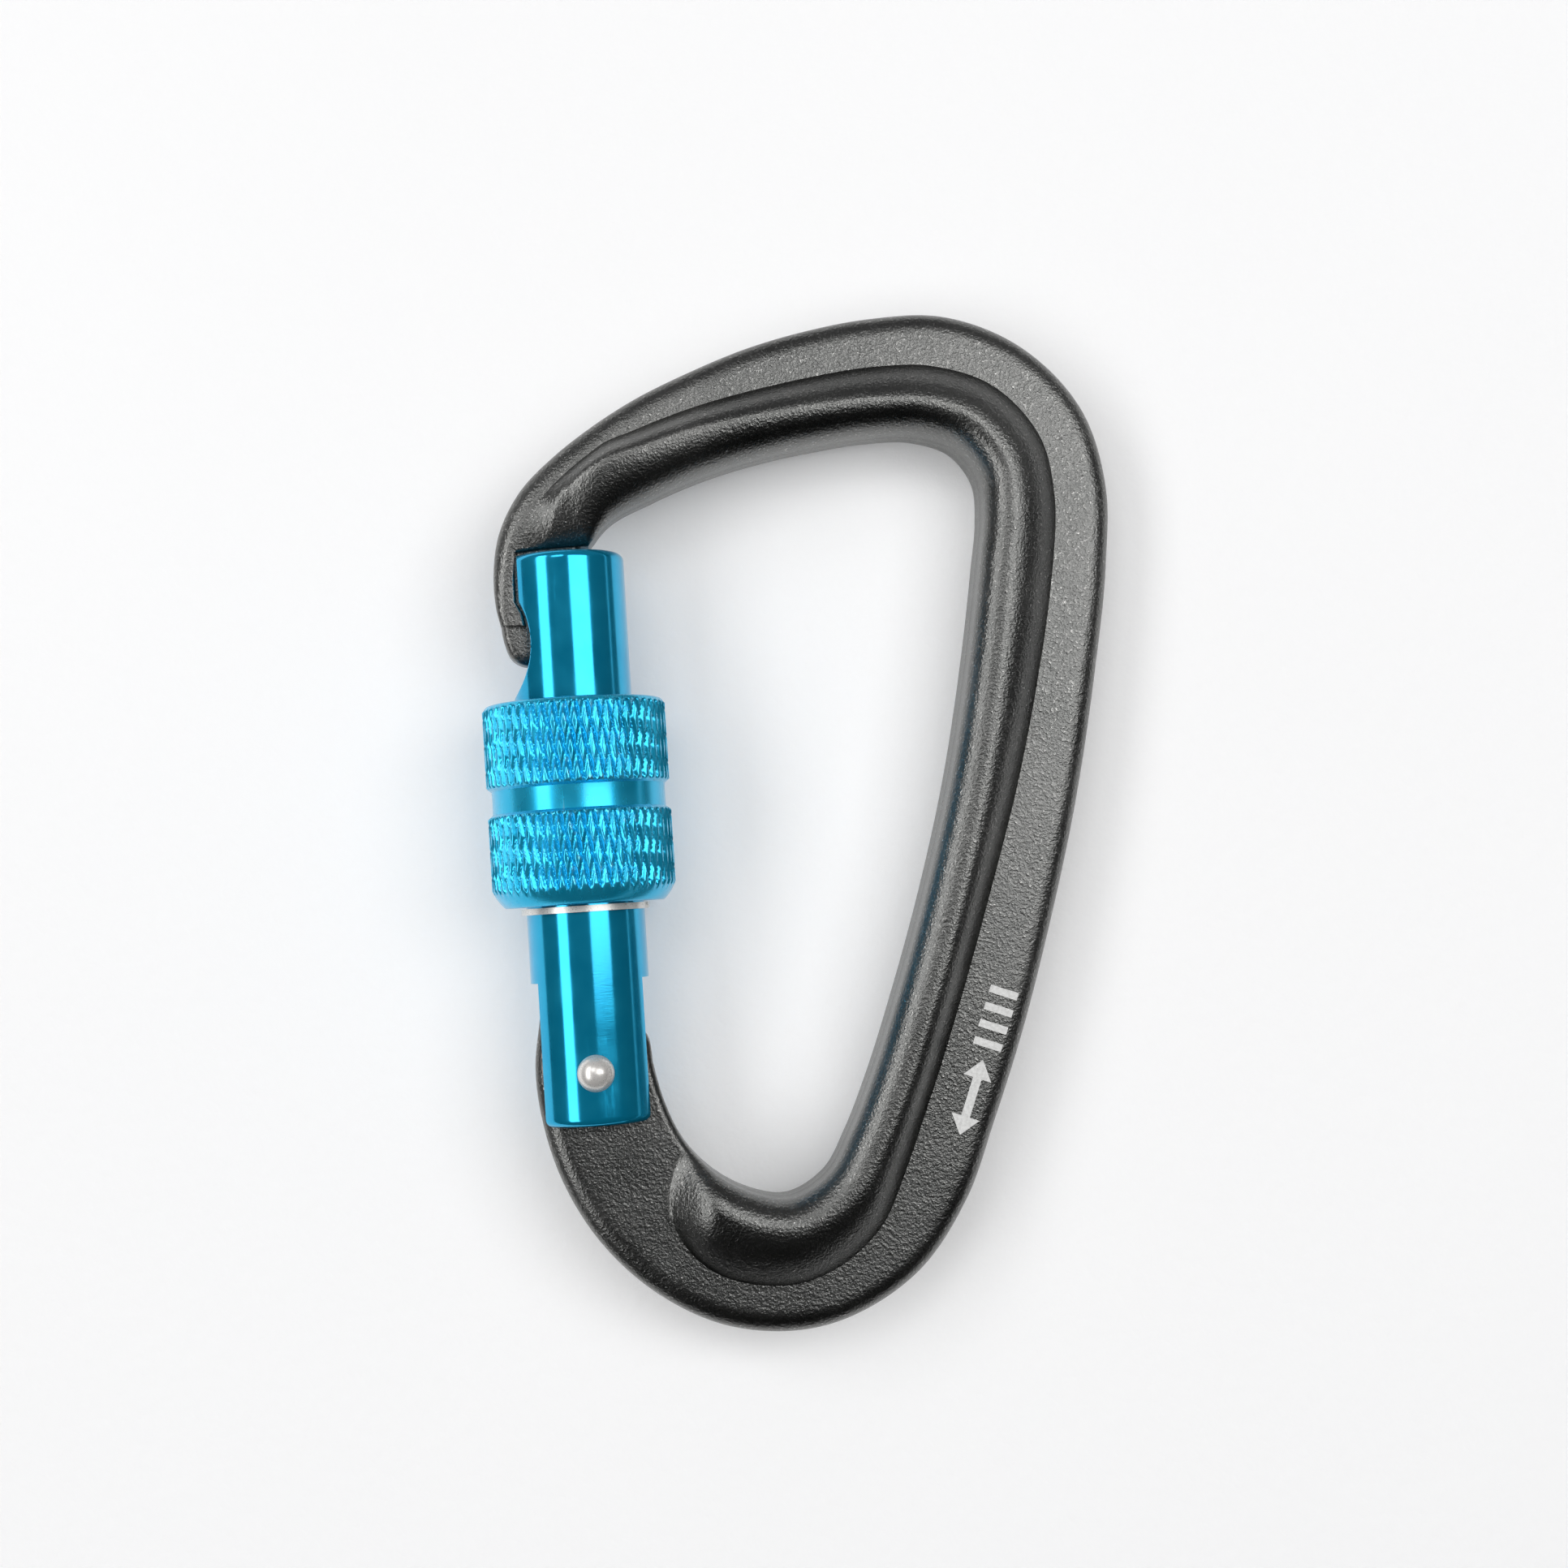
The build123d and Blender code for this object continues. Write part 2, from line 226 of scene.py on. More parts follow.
def web_rows():
    """Tongue of the nose that enters the gate's slot, a pillow over a rounded outline: rings
    shrink from the outline towards its middle while the height follows a quarter circle, then
    stays flat."""
    half, rounding = 1.5, 0.75
    knots = np.array([(-5.20, 36.4), (-5.24, 34.9), (-5.05, 33.5), (-4.55, 32.3), (-3.55, 31.72),
                      (-2.3, 31.95), (-0.8, 32.9), (0.6, 34.9), (0.9, 37.5), (0.9, 41.6),
                      (-2.0, 41.8), (-4.4, 41.2), (-5.0, 38.8), (-5.20, 36.4)])
    at = np.linspace(0, len(knots) - 1, 14 * 12 + 1)[:-1]
    loop = curve_through(knots, at)
    middle = np.array([-2.3, 37.2])
    inset = np.concatenate([1 - np.cos(np.linspace(0, np.pi / 2, 9)), [2.0, 3.2]])
    rise = np.concatenate([np.sin(np.linspace(0, np.pi / 2, 9)), [1.0, 1.0]])
    reach = np.linalg.norm(loop - middle, axis=1)
    near = np.minimum(rounding, reach * 0.45)
    share = 1 - np.minimum(inset[:, None] * near[None, :] / reach[None, :], 0.92)
    ring = middle + (loop - middle)[None] * share[..., None]
    z = (half - rounding + rounding * rise)[:, None] * np.ones_like(share)
    top = np.concatenate([ring, z[..., None]], axis=2)[::-1]
    return np.concatenate([top, top[::-1] * np.array([1, 1, -1])], axis=0)


body = piece_from("forged_body", [grid_mesh(body_rows()), grid_mesh(web_rows())])


def new_group(name, inputs, outputs):
    """Empty shader node group; inputs are (name, kind, default), outputs (name, kind)."""
    tree = bpy.data.node_groups.new(name, "ShaderNodeTree")
    for label, kind, value in inputs:
        socket = tree.interface.new_socket(label, in_out="INPUT", socket_type=kind)
        if value is not None:
            socket.default_value = value
    for label, kind in outputs:
        tree.interface.new_socket(label, in_out="OUTPUT", socket_type=kind)
    return tree, tree.nodes.new("NodeGroupInput"), tree.nodes.new("NodeGroupOutput")


def feed(tree, socket, value):
    """Links another socket to an input, or sets the input to a number or a colour."""
    if isinstance(value, bpy.types.NodeSocket):
        tree.links.new(value, socket)
    else:
        socket.default_value = value


def math_node(tree, operation, first, second):
    """Math node of two inputs."""
    node = tree.nodes.new("ShaderNodeMath")
    node.operation = operation
    feed(tree, node.inputs[0], first)
    feed(tree, node.inputs[1], second)
    return node.outputs[0]


def noise_node(tree, vector, scale, detail, rough, distortion=0.0):
    """Fractal noise of the given scale, in features per metre."""
    node = tree.nodes.new("ShaderNodeTexNoise")
    node.inputs["Scale"].default_value = scale
    node.inputs["Detail"].default_value = detail
    node.inputs["Roughness"].default_value = rough
    node.inputs["Distortion"].default_value = distortion
    tree.links.new(vector, node.inputs["Vector"])
    return node.outputs["Fac"]


def ramp(tree, value, low, high, out_low=0.0, out_high=1.0):
    """Clamped linear map of value from low..high to out_low..out_high."""
    node = tree.nodes.new("ShaderNodeMapRange")
    tree.links.new(value, node.inputs["Value"])
    feed(tree, node.inputs["From Min"], low)
    feed(tree, node.inputs["From Max"], high)
    node.inputs["To Min"].default_value = out_low
    node.inputs["To Max"].default_value = out_high
    return node.outputs["Result"]


def mix_colour(tree, factor, first, second):
    """Colour mix; each colour is a socket or red, green and blue."""
    node = tree.nodes.new("ShaderNodeMix")
    node.data_type = "RGBA"
    tree.links.new(factor, node.inputs["Factor"])
    colour_a, colour_b, result = node.inputs[6], node.inputs[7], node.outputs[2]
    feed(tree, colour_a, first if isinstance(first, bpy.types.NodeSocket) else (*first, 1.0))
    feed(tree, colour_b, second if isinstance(second, bpy.types.NodeSocket) else (*second, 1.0))
    return result


def group_node(tree, group, **values):
    """Places a node group and sets its named inputs."""
    node = tree.nodes.new("ShaderNodeGroup")
    node.node_tree = group
    for label, value in values.items():
        node.inputs[label].default_value = value
    return node


def blasted_group():
    """Bead-blasted grain as a height from fine pits, a sparkle mask of sparse points where a
    painted glint goes, and a slow patchiness."""
    tree, given, result = new_group(
        "blasted_grain",
        [("Vector", "NodeSocketVector", None)],
        [("Height", "NodeSocketFloat"), ("Sparkle", "NodeSocketFloat"),
         ("Patch", "NodeSocketFloat")])
    fine = noise_node(tree, given.outputs["Vector"], 4600.0, 2.0, 0.6)
    coarse = noise_node(tree, given.outputs["Vector"], 1900.0, 3.0, 0.6)
    patch = noise_node(tree, given.outputs["Vector"], 95.0, 4.0, 0.6, 0.4)
    height = math_node(tree, "ADD", math_node(tree, "MULTIPLY", fine, 0.65),
                       math_node(tree, "MULTIPLY", coarse, 0.35))
    tree.links.new(height, result.inputs["Height"])
    tree.links.new(ramp(tree, fine, 0.58, 0.80), result.inputs["Sparkle"])
    tree.links.new(patch, result.inputs["Patch"])
    return tree


def edge_highlight_group():
    """Painted highlight along sharp edges: how sharply the surface turns, mapped from Start..Full to
    0..Amount.
    """
    tree, given, result = new_group(
        "painted_edge_highlight",
        [("Start", "NodeSocketFloat", 0.5), ("Full", "NodeSocketFloat", 0.6),
         ("Amount", "NodeSocketFloat", 0.25)],
        [("Painted highlight", "NodeSocketFloat")])
    surface = tree.nodes.new("ShaderNodeNewGeometry")
    edge_shine = ramp(tree, surface.outputs["Pointiness"], given.outputs["Start"], given.outputs["Full"])
    tree.links.new(math_node(tree, "MULTIPLY", edge_shine, given.outputs["Amount"]),
                   result.inputs["Painted highlight"])
    return tree


blasted_grain = blasted_group()
painted_edge_highlight = edge_highlight_group()


def start_material(name):
    """New node material: returns it with its tree, Principled shader and Object coordinates."""
    material = bpy.data.materials.new(name)
    material.use_nodes = True
    tree = material.node_tree
    shader = tree.nodes["Principled BSDF"]
    coords = tree.nodes.new("ShaderNodeTexCoord")
    return material, tree, shader, coords.outputs["Object"]


def bump_node(tree, height, strength, distance):
    """Bump from a height socket; distance in metres."""
    node = tree.nodes.new("ShaderNodeBump")
    node.inputs["Strength"].default_value = strength
    node.inputs["Distance"].default_value = distance
    tree.links.new(height, node.inputs["Height"])
    return node


def body_material():
    """Dark grey anodised aluminium, blasted: two greys in patches, sparse pale spots that are
    painted glints and also smoother, and a paler grey along sharp edges that is a painted highlight."""
    deep_grey, mid_grey = (0.140, 0.142, 0.138), (0.195, 0.196, 0.190)
    painted_glint_grey, edge_highlight_grey = (0.46, 0.455, 0.44), (0.24, 0.235, 0.225)
    material, tree, shader, place = start_material("body_anodised")
    grain = group_node(tree, blasted_grain)
    tree.links.new(place, grain.inputs["Vector"])
    edge_sheen = group_node(tree, painted_edge_highlight, Start=0.505, Full=0.56, Amount=0.25)
    base = mix_colour(tree, ramp(tree, grain.outputs["Patch"], 0.3, 0.7), deep_grey, mid_grey)
    # Painted glints: the sparkle mask lays a pale grey into the colour at sparse points.
    bright = mix_colour(tree, grain.outputs["Sparkle"], base, painted_glint_grey)
    # Painted highlight: a paler grey laid along sharp edges.
    tree.links.new(mix_colour(tree, edge_sheen.outputs["Painted highlight"], bright, edge_highlight_grey),
                   shader.inputs["Base Color"])
    rough = math_node(tree, "ADD", ramp(tree, grain.outputs["Patch"], 0.25, 0.75, 0.27, 0.34),
                      math_node(tree, "MULTIPLY", grain.outputs["Sparkle"], -0.08))
    tree.links.new(rough, shader.inputs["Roughness"])
    shader.inputs["Metallic"].default_value = 1.0
    bump = bump_node(tree, grain.outputs["Height"], 0.9, 0.00009)
    tree.links.new(bump.outputs["Normal"], shader.inputs["Normal"])
    return material


body.data.materials.append(body_material())
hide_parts("frame_body")
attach(body, "frame")


# ---------------------------------------------------------------------------
# Load-axis mark. A pale double arrow and four bars on the flat of the spine,
# burnt into the colour layer by laser, so they stand up by almost nothing.
# ---------------------------------------------------------------------------
def etched_mark():
    """Flat plates a hair proud of the spine's flat, each a polygon with straight sides: a
    double-headed arrow and four bars, laid out along the spine from the arrow's lower tip."""
    start = np.array((27.9, -6.9))
    along = np.array((0.365, 0.931))
    side = np.array((0.931, -0.365))
    proud, sunk = 0.025, 0.1                # millimetres above and below the flat
    half_head, half_shaft, bar_wide = 1.15, 0.35, 0.6
    arrow = [(0.0, 0.0), (1.5, half_head), (1.5, half_shaft), (4.6, half_shaft), (4.6, half_head),
             (6.1, 0.0), (4.6, -half_head), (4.6, -half_shaft), (1.5, -half_shaft),
             (1.5, -half_head)]
    plates = [arrow] + [[(p, -half_head), (p + bar_wide, -half_head), (p + bar_wide, half_head),
                         (p, half_head)] for p in (7.1, 8.5, 9.9, 11.3)]
    verts, faces = [], []
    for plate in plates:
        base = len(verts)
        count = len(plate)
        flat = [start + along * p + side * q for p, q in plate]
        verts += [(x, y, FLANGE_HALF + proud) for x, y in flat]
        verts += [(x, y, FLANGE_HALF - sunk) for x, y in flat]
        faces.append(list(range(base, base + count)))
        faces.append(list(range(base + 2 * count - 1, base + count - 1, -1)))
        ahead = [(i + 1) % count for i in range(count)]
        faces += [[base + i, base + count + i, base + count + j, base + j]
                  for i, j in enumerate(ahead)]
    mesh = bpy.data.meshes.new("load_axis_mark")
    mesh.from_pydata((np.array(verts) * 0.001 + np.array(PIN)).tolist(), [], faces)
    mesh.update()
    piece = bpy.data.objects.new("load_axis_mark", mesh)
    bpy.context.scene.collection.objects.link(piece)
    return piece


def etch_material():
    """Matt whitish oxide left by the laser, slightly uneven."""
    material, tree, shader, place = start_material("laser_etch")
    speck = noise_node(tree, place, 3800.0, 3.0, 0.6)
    tree.links.new(mix_colour(tree, ramp(tree, speck, 0.35, 0.7), (0.62, 0.62, 0.61),
                              (0.82, 0.82, 0.81)), shader.inputs["Base Color"])
    tree.links.new(ramp(tree, speck, 0.3, 0.7, 0.5, 0.7), shader.inputs["Roughness"])
    bump = bump_node(tree, speck, 0.3, 0.00003)
    tree.links.new(bump.outputs["Normal"], shader.inputs["Normal"])
    return material


mark = etched_mark()
mark.data.materials.append(etch_material())
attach(mark, "frame")


# ---------------------------------------------------------------------------
# Gate. A turned and milled aluminium bar, polished and anodised bright blue:
# fork over the tang, groove for the stop ring, slotted head with its scoop.
# ---------------------------------------------------------------------------
GATE_RADIUS = 4.6
GATE_FOOT, FORK_ROOF, SLOT_FLOOR, GATE_TOP = -4.05, 7.0, 31.2, 40.2    # heights over the pin
FORK_HALF = 2.25                                    # half width of the fork's gap over the tang
SLOT_HALF, SLOT_WALL = 1.65, 1.4                    # half width of the head's slot, its inner wall
GROOVE_LOW, GROOVE_HIGH, GROOVE_RADIUS = 12.28, 12.80, 4.15            # holds the stop ring
SCOOP_X, SCOOP_Y, SCOOP_RADIUS = -9.7, 33.4, 6.7    # round scoop that the nose hooks into
HEAD_FLAT = 3.75                                    # from the gate's axis to the head's flat
THREAD_LOW, THREAD_HIGH = 13.4, 28.0
THREAD_PITCH, THREAD_DEPTH = 2.0, 0.42


def turned_group():
    """Fine lathe lines round the gate axis, rub marks drawn out along it, and a soft cloud, as
    a height and two masks."""
    tree, given, result = new_group(
        "turned_finish",
        [("Vector", "NodeSocketVector", None)],
        [("Height", "NodeSocketFloat"), ("Rub", "NodeSocketFloat"), ("Cloud", "NodeSocketFloat")])
    stretch = tree.nodes.new("ShaderNodeMapping")
    stretch.inputs["Scale"].default_value = (0.12, 1.0, 0.12)
    tree.links.new(given.outputs["Vector"], stretch.inputs["Vector"])
    lines = noise_node(tree, stretch.outputs["Vector"], 9000.0, 2.0, 0.5)
    long = tree.nodes.new("ShaderNodeMapping")
    long.inputs["Scale"].default_value = (1.0, 0.10, 1.0)
    tree.links.new(given.outputs["Vector"], long.inputs["Vector"])
    rub = noise_node(tree, long.outputs["Vector"], 2600.0, 3.0, 0.65)
    cloud = noise_node(tree, given.outputs["Vector"], 420.0, 3.0, 0.5)
    tree.links.new(lines, result.inputs["Height"])
    tree.links.new(ramp(tree, rub, 0.60, 0.78), result.inputs["Rub"])
    tree.links.new(cloud, result.inputs["Cloud"])
    return tree


turned_finish = turned_group()


def blue_material(name, deep, pale, rough_low, rough_high, bump_distance, edge_sheen):
    """Dyed anodised aluminium: tinted metal under a thin clear oxide coat, a little rougher on
    rub marks, with a painted highlight that makes sharp edges paler by the given amount."""
    edge_highlight_blue = (0.42, 0.72, 0.86)
    material, tree, shader, place = start_material(name)
    turned = group_node(tree, turned_finish)
    tree.links.new(place, turned.inputs["Vector"])
    cloud = turned.outputs["Cloud"]
    dye = mix_colour(tree, ramp(tree, cloud, 0.3, 0.7), deep, pale)
    edges = group_node(tree, painted_edge_highlight, Start=0.52, Full=0.60, Amount=edge_sheen)
    # Painted highlight: a paler blue laid along sharp edges, by the given amount.
    tree.links.new(mix_colour(tree, edges.outputs["Painted highlight"], dye, edge_highlight_blue),
                   shader.inputs["Base Color"])
    rough = math_node(tree, "ADD", ramp(tree, cloud, 0.3, 0.7, rough_low, rough_high),
                      math_node(tree, "MULTIPLY", turned.outputs["Rub"], 0.10))
    tree.links.new(rough, shader.inputs["Roughness"])
    shader.inputs["Metallic"].default_value = 0.72
    shader.inputs["Coat Weight"].default_value = 0.25
    shader.inputs["Coat Roughness"].default_value = 0.08
    bump = bump_node(tree, turned.outputs["Height"], 0.35, bump_distance)
    tree.links.new(bump.outputs["Normal"], shader.inputs["Normal"])
    return material


def paint_node(name, material):
    """Gives a CAD node its finish."""
    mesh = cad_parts[name].data
    mesh.materials.clear()
    mesh.materials.append(material)


def end_round(y, low, high, radius=0.60):
    """Amount the outside radius falls near each end: a quarter circle of the given radius."""
    near = np.clip(radius - np.minimum(y - low, high - y), 0, radius)
    return radius - np.sqrt(radius ** 2 - near ** 2)


def head_limit(y):
    """How far left the gate may reach: the scoop's circle, and above its middle no further than
    the head's flat. Below the scoop the limit is outside the bar."""
    arc = SCOOP_X + np.sqrt(np.clip(SCOOP_RADIUS ** 2 - (y - SCOOP_Y) ** 2, 0, None))
    return np.where(y > SCOOP_Y, np.maximum(arc, -HEAD_FLAT), arc)


def bar_rows(around=360):
    """Middle of the gate, from the fork roof to the slot floor. Radius over (y, turn): plain bar,
    less a V thread under the sleeve that runs out in smooth steps, less the ring groove, cut by
    the scoop."""
    step, run_out = 0.001, 0.8
    y = np.concatenate([np.linspace(FORK_ROOF, GROOVE_LOW - 0.02, 20),
                        [GROOVE_LOW, GROOVE_LOW + step, GROOVE_HIGH - step, GROOVE_HIGH],
                        np.linspace(GROOVE_HIGH + 0.1, THREAD_HIGH + 0.4, 240),
                        np.linspace(THREAD_HIGH + 0.5, SLOT_FLOOR, 30)])
    turn = np.linspace(0, 2 * np.pi, around, endpoint=False)
    wave = (y[:, None] / THREAD_PITCH - turn[None, :] / (2 * np.pi)) % 1.0
    valley = np.clip(1 - np.abs(wave - 0.5) / 0.28, 0, 1)
    zone = (smooth_step((y - THREAD_LOW) / run_out)
            * smooth_step((THREAD_HIGH - y) / run_out))
    radius = GATE_RADIUS - THREAD_DEPTH * valley * zone[:, None]
    groove = (y > GROOVE_LOW + step / 2) & (y < GROOVE_HIGH - step / 2)
    radius = np.where(groove[:, None], GROOVE_RADIUS, radius)
    x = np.maximum(radius * np.sin(turn)[None, :], head_limit(y)[:, None])
    z = radius * np.cos(turn)[None, :]
    return np.stack([x, np.repeat(y[:, None], around, 1), z], axis=-1)


def cheek_rows(side, inside, low, high, round_low, steps=90, arc=120):
    """D-section cheek: the part of the bar beyond the height inside, carried from low to high
    with steps that crowd at both ends. One end is rounded: the low one if round_low is true."""
    y = low + (high - low) * (0.5 - 0.5 * np.cos(np.linspace(0, np.pi, steps)))
    fall = end_round(y, low, high + 1) if round_low else end_round(y, low - 1, high)
    radius = (GATE_RADIUS - fall)[:, None]
    reach = np.arccos(inside / radius)
    turn = reach * np.linspace(-1, 1, arc)[None, :]
    x = radius * np.sin(turn)
    z = radius * np.cos(turn)
    floor_x = x[:, -1:] + (x[:, :1] - x[:, -1:]) * np.linspace(0, 1, 24)[None, 1:-1]
    x = np.concatenate([x, floor_x], axis=1)
    z = np.concatenate([z, np.full(floor_x.shape, inside)], axis=1)
    x = np.maximum(x, head_limit(y)[:, None])
    return np.stack([x, np.repeat(y[:, None], x.shape[1], 1), z * side], axis=-1)


def bridge_rows(low, high, steps=60, arc=40):
    """The solid side of the head between the two cheeks: from the slot's inner wall out to the
    arc of the bar, carried from low to high."""
    y = low + (high - low) * (0.5 - 0.5 * np.cos(np.linspace(0, np.pi, steps)))
    radius = (GATE_RADIUS - end_round(y, low - 1, high))[:, None]
    spread = np.arcsin(SLOT_HALF / radius)
    turn = spread * np.linspace(-1, 1, arc)[None, :]
    x = np.concatenate([radius * np.cos(turn), np.full((steps, 2), SLOT_WALL)], axis=1)
    z = np.concatenate([radius * np.sin(turn), np.full((steps, 1), SLOT_HALF),
                        np.full((steps, 1), -SLOT_HALF)], axis=1)
    return np.stack([x, np.repeat(y[:, None], x.shape[1], 1), z], axis=-1)


gate = piece_from("turned_gate", [
    grid_mesh(bar_rows()),
    *(grid_mesh(cheek_rows(side, FORK_HALF, GATE_FOOT, FORK_ROOF, True)) for side in (1, -1)),
    *(grid_mesh(cheek_rows(side, SLOT_HALF, SLOT_FLOOR, GATE_TOP, False)) for side in (1, -1)),
    grid_mesh(bridge_rows(SLOT_FLOOR, GATE_TOP))])
gate.data.materials.append(blue_material(
    "gate_anodised", deep=(0.004, 0.40, 0.70), pale=(0.012, 0.46, 0.76),
    rough_low=0.10, rough_high=0.16, bump_distance=0.000004, edge_sheen=0.0))
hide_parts("gate_arm")
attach(gate, "gate")


# ---------------------------------------------------------------------------
# Screw sleeve. Turned aluminium tube, two knurled grip bands with a plain
# waist between them, a tapered foot, and a wide mouth that covers the nose.
# ---------------------------------------------------------------------------
def sleeve_rows(across=624, along=100):
    """Tube profile turned about the gate axis. In the two grip bands the outside radius is
    lowered by the deeper of two crossed sets of helical V grooves, which fade in with a smooth
    step from each end of a band."""
    top, foot = 28.65, 12.9
    grip_radius, fade_in = 7.15, 0.30
    band_ends = np.array([top, 22.1, 20.1, 14.0])
    starts = 52                             # grooves round the sleeve, each way
    spacing = 4.1                           # from one groove to the next, along the axis
    right_depth, left_depth = 0.30, 0.20
    high = np.linspace(28.25, 22.35, along // 2)
    low = np.linspace(19.85, 14.3, along // 2)
    outline = np.concatenate([
        [(6.72, top), (6.86, top - 0.05), (6.97, top - 0.16), (7.03, top - 0.30)],
        np.stack([np.full(high.shape, grip_radius), high], 1),
        [(7.04, 22.22), (6.86, 22.08), (6.76, 22.0), (6.74, 21.6), (6.74, 21.1), (6.74, 20.6),
         (6.76, 20.2), (6.86, 20.12), (7.04, 19.98)],
        np.stack([np.full(low.shape, grip_radius), low], 1),
        [(7.02, 14.02), (6.80, 13.62), (6.50, 13.22), (6.30, 13.0), (6.15, foot), (5.4, foot),
         (4.75, foot), (4.7, 12.98), (4.7, 16.8), (4.7, 20.05), (6.15, 21.25), (6.2, 21.4),
         (6.2, 25.0), (6.2, 28.3), (6.3, 28.55), (6.5, top)]])
    radius, y = outline[:, 0], outline[:, 1]
    turn = np.linspace(0, 2 * np.pi, across, endpoint=False)
    to_end = np.abs(y[:, None] - band_ends).min(axis=1)
    grip = (radius > grip_radius - 0.01) * smooth_step(to_end / fade_in)

    def groove(phase):
        """V valley once per start, with a flat land between valleys."""
        wave = np.abs(((phase / (2 * np.pi)) % 1.0) - 0.5) * 2
        return np.clip((wave - 0.42) / 0.58, 0, 1)

    right = groove(starts * turn[None, :] + 2 * np.pi * y[:, None] / spacing)
    left = groove(starts * turn[None, :] - 2 * np.pi * y[:, None] / spacing)
    depth = np.maximum(right_depth * right, left_depth * left)
    r = radius[:, None] - grip[:, None] * depth
    return np.stack([r * np.sin(turn)[None, :], np.repeat(y[:, None], across, 1),
                     r * np.cos(turn)[None, :]], axis=-1)


sleeve = piece_from("knurled_sleeve", [grid_mesh(sleeve_rows(), closed_rows=True)])
# The knurl's crests and the sleeve's edges get a painted highlight in paler blue.
sleeve.data.materials.append(blue_material(
    "sleeve_anodised", deep=(0.010, 0.50, 0.82), pale=(0.025, 0.56, 0.88),
    rough_low=0.22, rough_high=0.29, bump_distance=0.000006, edge_sheen=0.25))
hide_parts("lock_sleeve")
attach(sleeve, "sleeve")


# ---------------------------------------------------------------------------
# Steel parts: hinge rivet with two set heads, split stop ring, plunger and
# return spring. Bright drawn or plated steel.
# ---------------------------------------------------------------------------
def steel_material(name, colour, low, high, metallic):
    """Steel with faint scratches: roughness from low to high, colour down to 86% in a cloud."""
    material, tree, shader, place = start_material(name)
    scratch = noise_node(tree, place, 9000.0, 3.0, 0.6, 0.5)
    cloud = noise_node(tree, place, 700.0, 2.0, 0.5)
    tree.links.new(mix_colour(tree, cloud, tuple(c * 0.86 for c in colour), colour),
                   shader.inputs["Base Color"])
    tree.links.new(ramp(tree, scratch, 0.35, 0.75, low, high), shader.inputs["Roughness"])
    shader.inputs["Metallic"].default_value = metallic
    bump = bump_node(tree, scratch, 0.15, 0.000002)
    tree.links.new(bump.outputs["Normal"], shader.inputs["Normal"])
    return material


bright_steel = steel_material("steel", (0.95, 0.92, 0.88), 0.26, 0.38, 0.55)
for steel_node in ("hinge_rivet", "stop_ring", "spring_plunger"):
    paint_node(steel_node, bright_steel)
paint_node("gate_spring", steel_material("spring_steel", (0.60, 0.60, 0.60), 0.25, 0.4, 1.0))


# ---------------------------------------------------------------------------
# Drag ring. A small ring of moulded black plastic that sits inside the sleeve
# and rubs on the gate, so that the sleeve does not turn by itself.
# ---------------------------------------------------------------------------
def plastic_material():
    """Moulded black plastic with a fine even texture."""
    material, tree, shader, place = start_material("drag_plastic")
    skin = noise_node(tree, place, 3000.0, 3.0, 0.6)
    tree.links.new(mix_colour(tree, skin, (0.018, 0.018, 0.018), (0.035, 0.035, 0.035)),
                   shader.inputs["Base Color"])
    tree.links.new(ramp(tree, skin, 0.3, 0.7, 0.45, 0.6), shader.inputs["Roughness"])
    bump = bump_node(tree, skin, 0.3, 0.00002)
    tree.links.new(bump.outputs["Normal"], shader.inputs["Normal"])
    return material


paint_node("drag_ring", plastic_material())


# ---------------------------------------------------------------------------
# Table, light and camera. The carabiner rests on its sleeve and on the spine,
# so the table is tilted a few degrees to the body's middle plane.
# ---------------------------------------------------------------------------
def table_top():
    """Pale plane that touches the round sleeve and the spine's rib from below."""
    axis_x = (sleeve_low.x + sleeve_high.x) / 2
    sleeve_r = (sleeve_high.z - sleeve_low.z) / 2
    rib_x = 0.0125                          # where the spine's rib touches
    reach = 4.0                             # half the side of the table, in metres
    hair = 0.00002                          # left between the sleeve and the table
    lean = math.asin((sleeve_r - CREST_HALF * 0.001) / (rib_x - axis_x))
    normal = Vector((-math.sin(lean), 0.0, math.cos(lean)))
    foot = Vector((axis_x, 0.0, 0.0)) - normal * (sleeve_r + hair)
    mesh = bpy.data.meshes.new("table_top")
    across = Vector((normal.z, 0, -normal.x))
    corners = [foot + across * sx * reach + Vector((0, 1, 0)) * sy * reach
               for sx, sy in ((-1, -1), (1, -1), (1, 1), (-1, 1))]
    mesh.from_pydata([tuple(c) for c in corners], [], [(0, 1, 2, 3)])
    piece = bpy.data.objects.new("table_top", mesh)
    bpy.context.scene.collection.objects.link(piece)
    material, tree, shader, place = start_material("table_paper")
    tooth = noise_node(tree, place, 900.0, 4.0, 0.6)
    tree.links.new(mix_colour(tree, noise_node(tree, place, 12.0, 2.0, 0.5), (0.86, 0.86, 0.865),
                              (0.89, 0.89, 0.895)), shader.inputs["Base Color"])
    shader.inputs["Roughness"].default_value = 0.62
    shader.inputs["Specular IOR Level"].default_value = 0.25
    shader.inputs["Emission Color"].default_value = (1.0, 1.0, 1.0, 1.0)
    shader.inputs["Emission Strength"].default_value = 0.14          # lit from below as well
    bump = bump_node(tree, tooth, 0.35, 0.00022)
    tree.links.new(bump.outputs["Normal"], shader.inputs["Normal"])
    mesh.materials.append(material)


table_top()


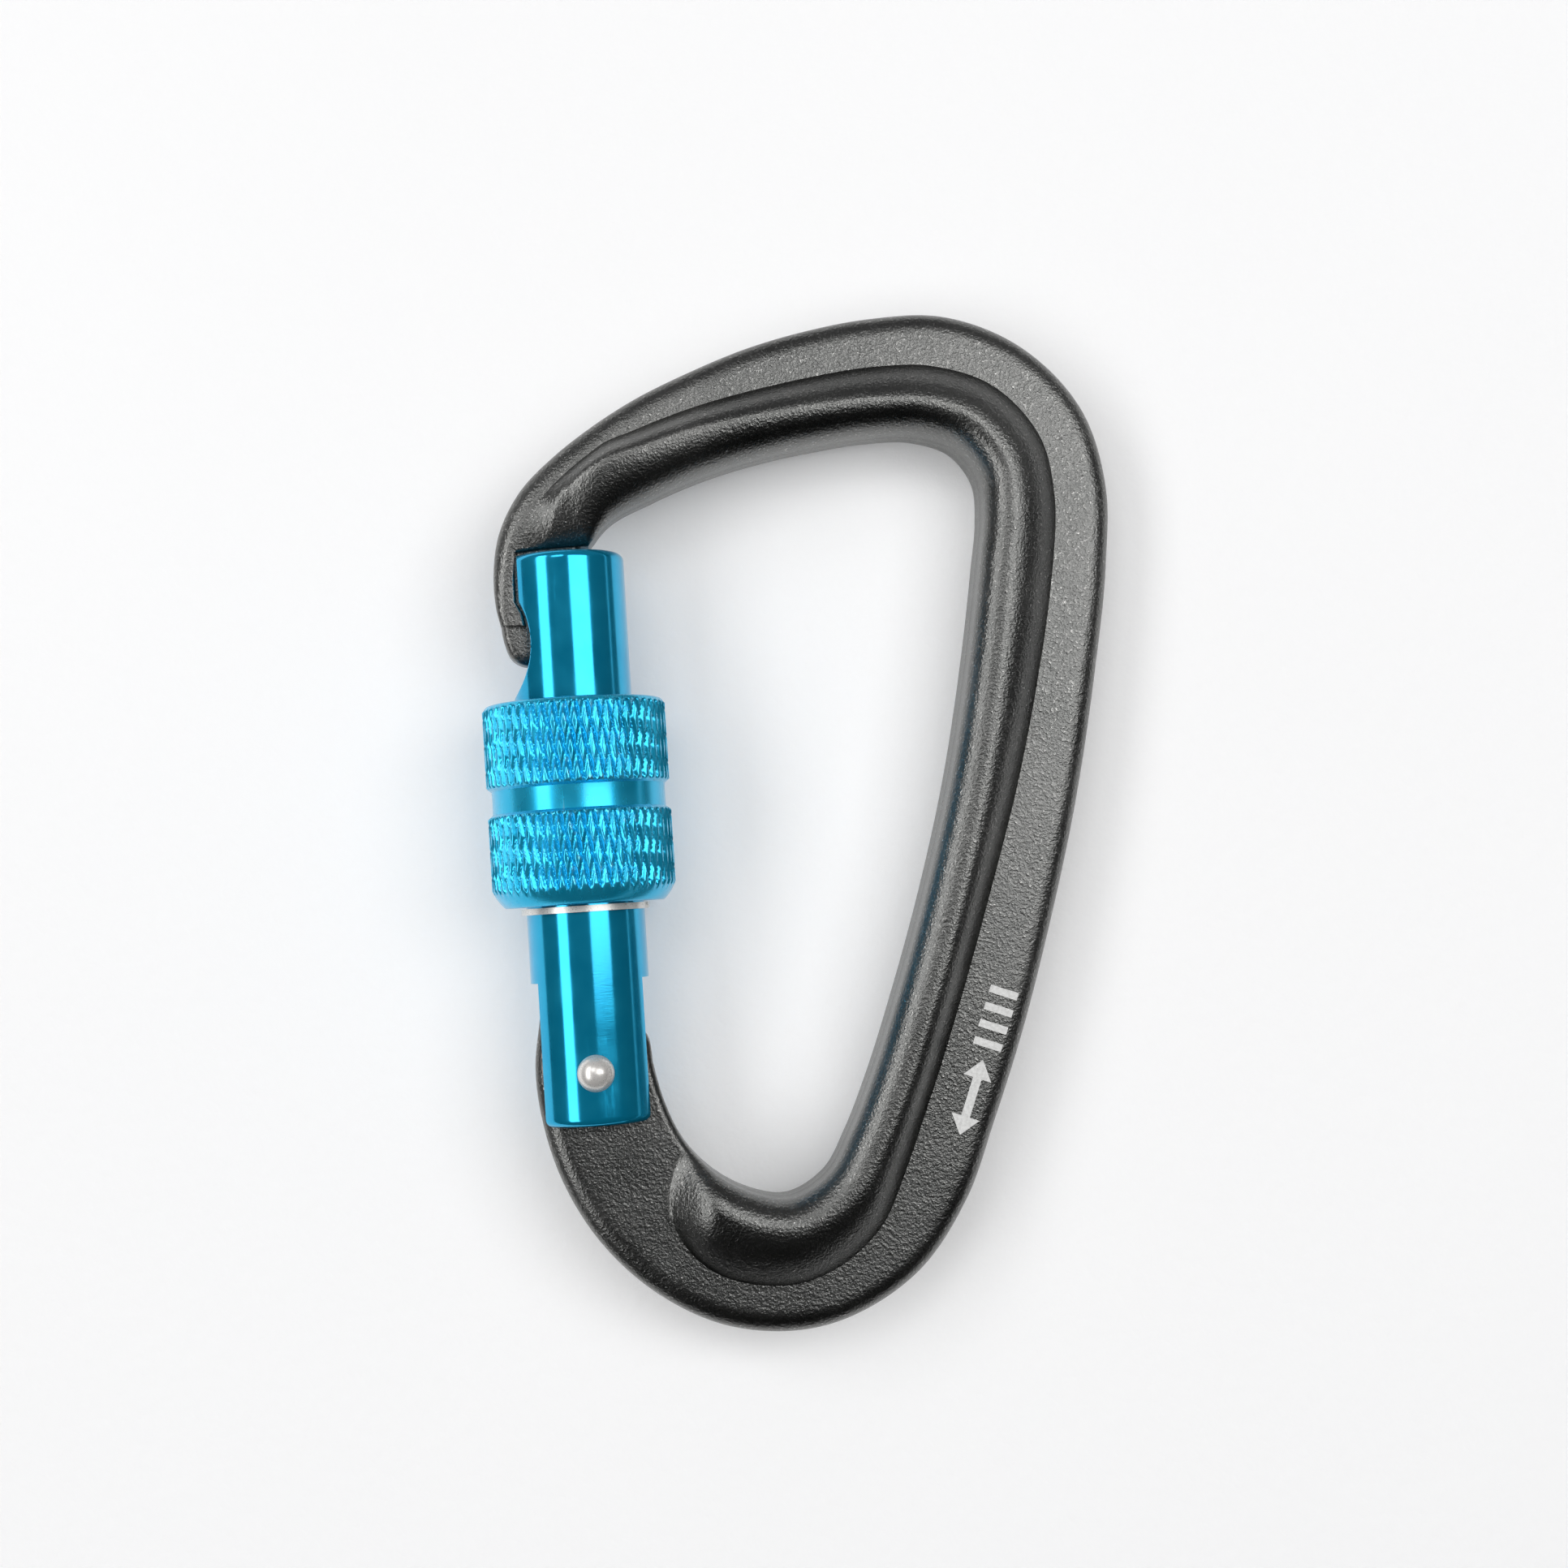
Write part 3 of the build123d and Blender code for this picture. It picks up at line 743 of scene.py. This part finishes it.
def soft_light(name, place, lean, size, size_y, power):
    """Rectangular soft box that faces down, then leans by the given degrees about X and Y."""
    lamp = bpy.data.lights.new(name, "AREA")
    lamp.shape = "RECTANGLE"
    lamp.size = size
    lamp.size_y = size_y
    lamp.energy = power
    rig = bpy.data.objects.new(name, lamp)
    rig.location = place
    rig.rotation_euler = (math.radians(lean[0]), math.radians(lean[1]), 0.0)
    bpy.context.scene.collection.objects.link(rig)
    return rig


soft_light("ceiling_right", (0.275, 0.105, 0.55), (0, 0), 0.46, 0.27, 1.25)
soft_light("ceiling_far", (-0.17, 0.26, 0.55), (0, 0), 0.24, 0.22, 0.42)
soft_light("window_left", (-0.48, 0.08, 0.42), (0, -48), 0.22, 0.80, 1.80)
room_fill = soft_light("room_fill", (0.0, -0.14, 0.95), (-8, 0), 1.5, 1.3, 4.9)
room_fill.visible_glossy = False

# The room is dark towards the near end and pale towards the far end.
world = bpy.data.worlds.new("room")
bpy.context.scene.world = world
world.use_nodes = True
sky = world.node_tree
direction = sky.nodes.new("ShaderNodeTexCoord")
split = sky.nodes.new("ShaderNodeSeparateXYZ")
sky.links.new(direction.outputs["Generated"], split.inputs["Vector"])
room = mix_colour(sky, ramp(sky, split.outputs["Y"], -0.20, 0.75),
                  (0.02, 0.02, 0.021), (0.80, 0.80, 0.82))
sky.links.new(room, sky.nodes["Background"].inputs["Color"])
sky.nodes["Background"].inputs["Strength"].default_value = 0.16

# The lens stands 189 mm over the body's middle plane and looks almost straight down.
lens = bpy.data.cameras.new("camera")
lens.sensor_width = 36.0
lens.lens = 55.318
lens.clip_start = 0.01
lens.clip_end = 10.0
eye = bpy.data.objects.new("camera", lens)
eye.location = PIN + Vector((-0.001021, 0.012112, 0.188998))
eye.rotation_euler = (math.radians(3.1119), math.radians(-5.0), math.radians(-3.7009))
bpy.context.scene.collection.objects.link(eye)
bpy.context.scene.camera = eye

bpy.context.scene.view_settings.view_transform = "Standard"
bpy.context.scene.view_settings.look = "None"
bpy.context.scene.view_settings.exposure = 0.0
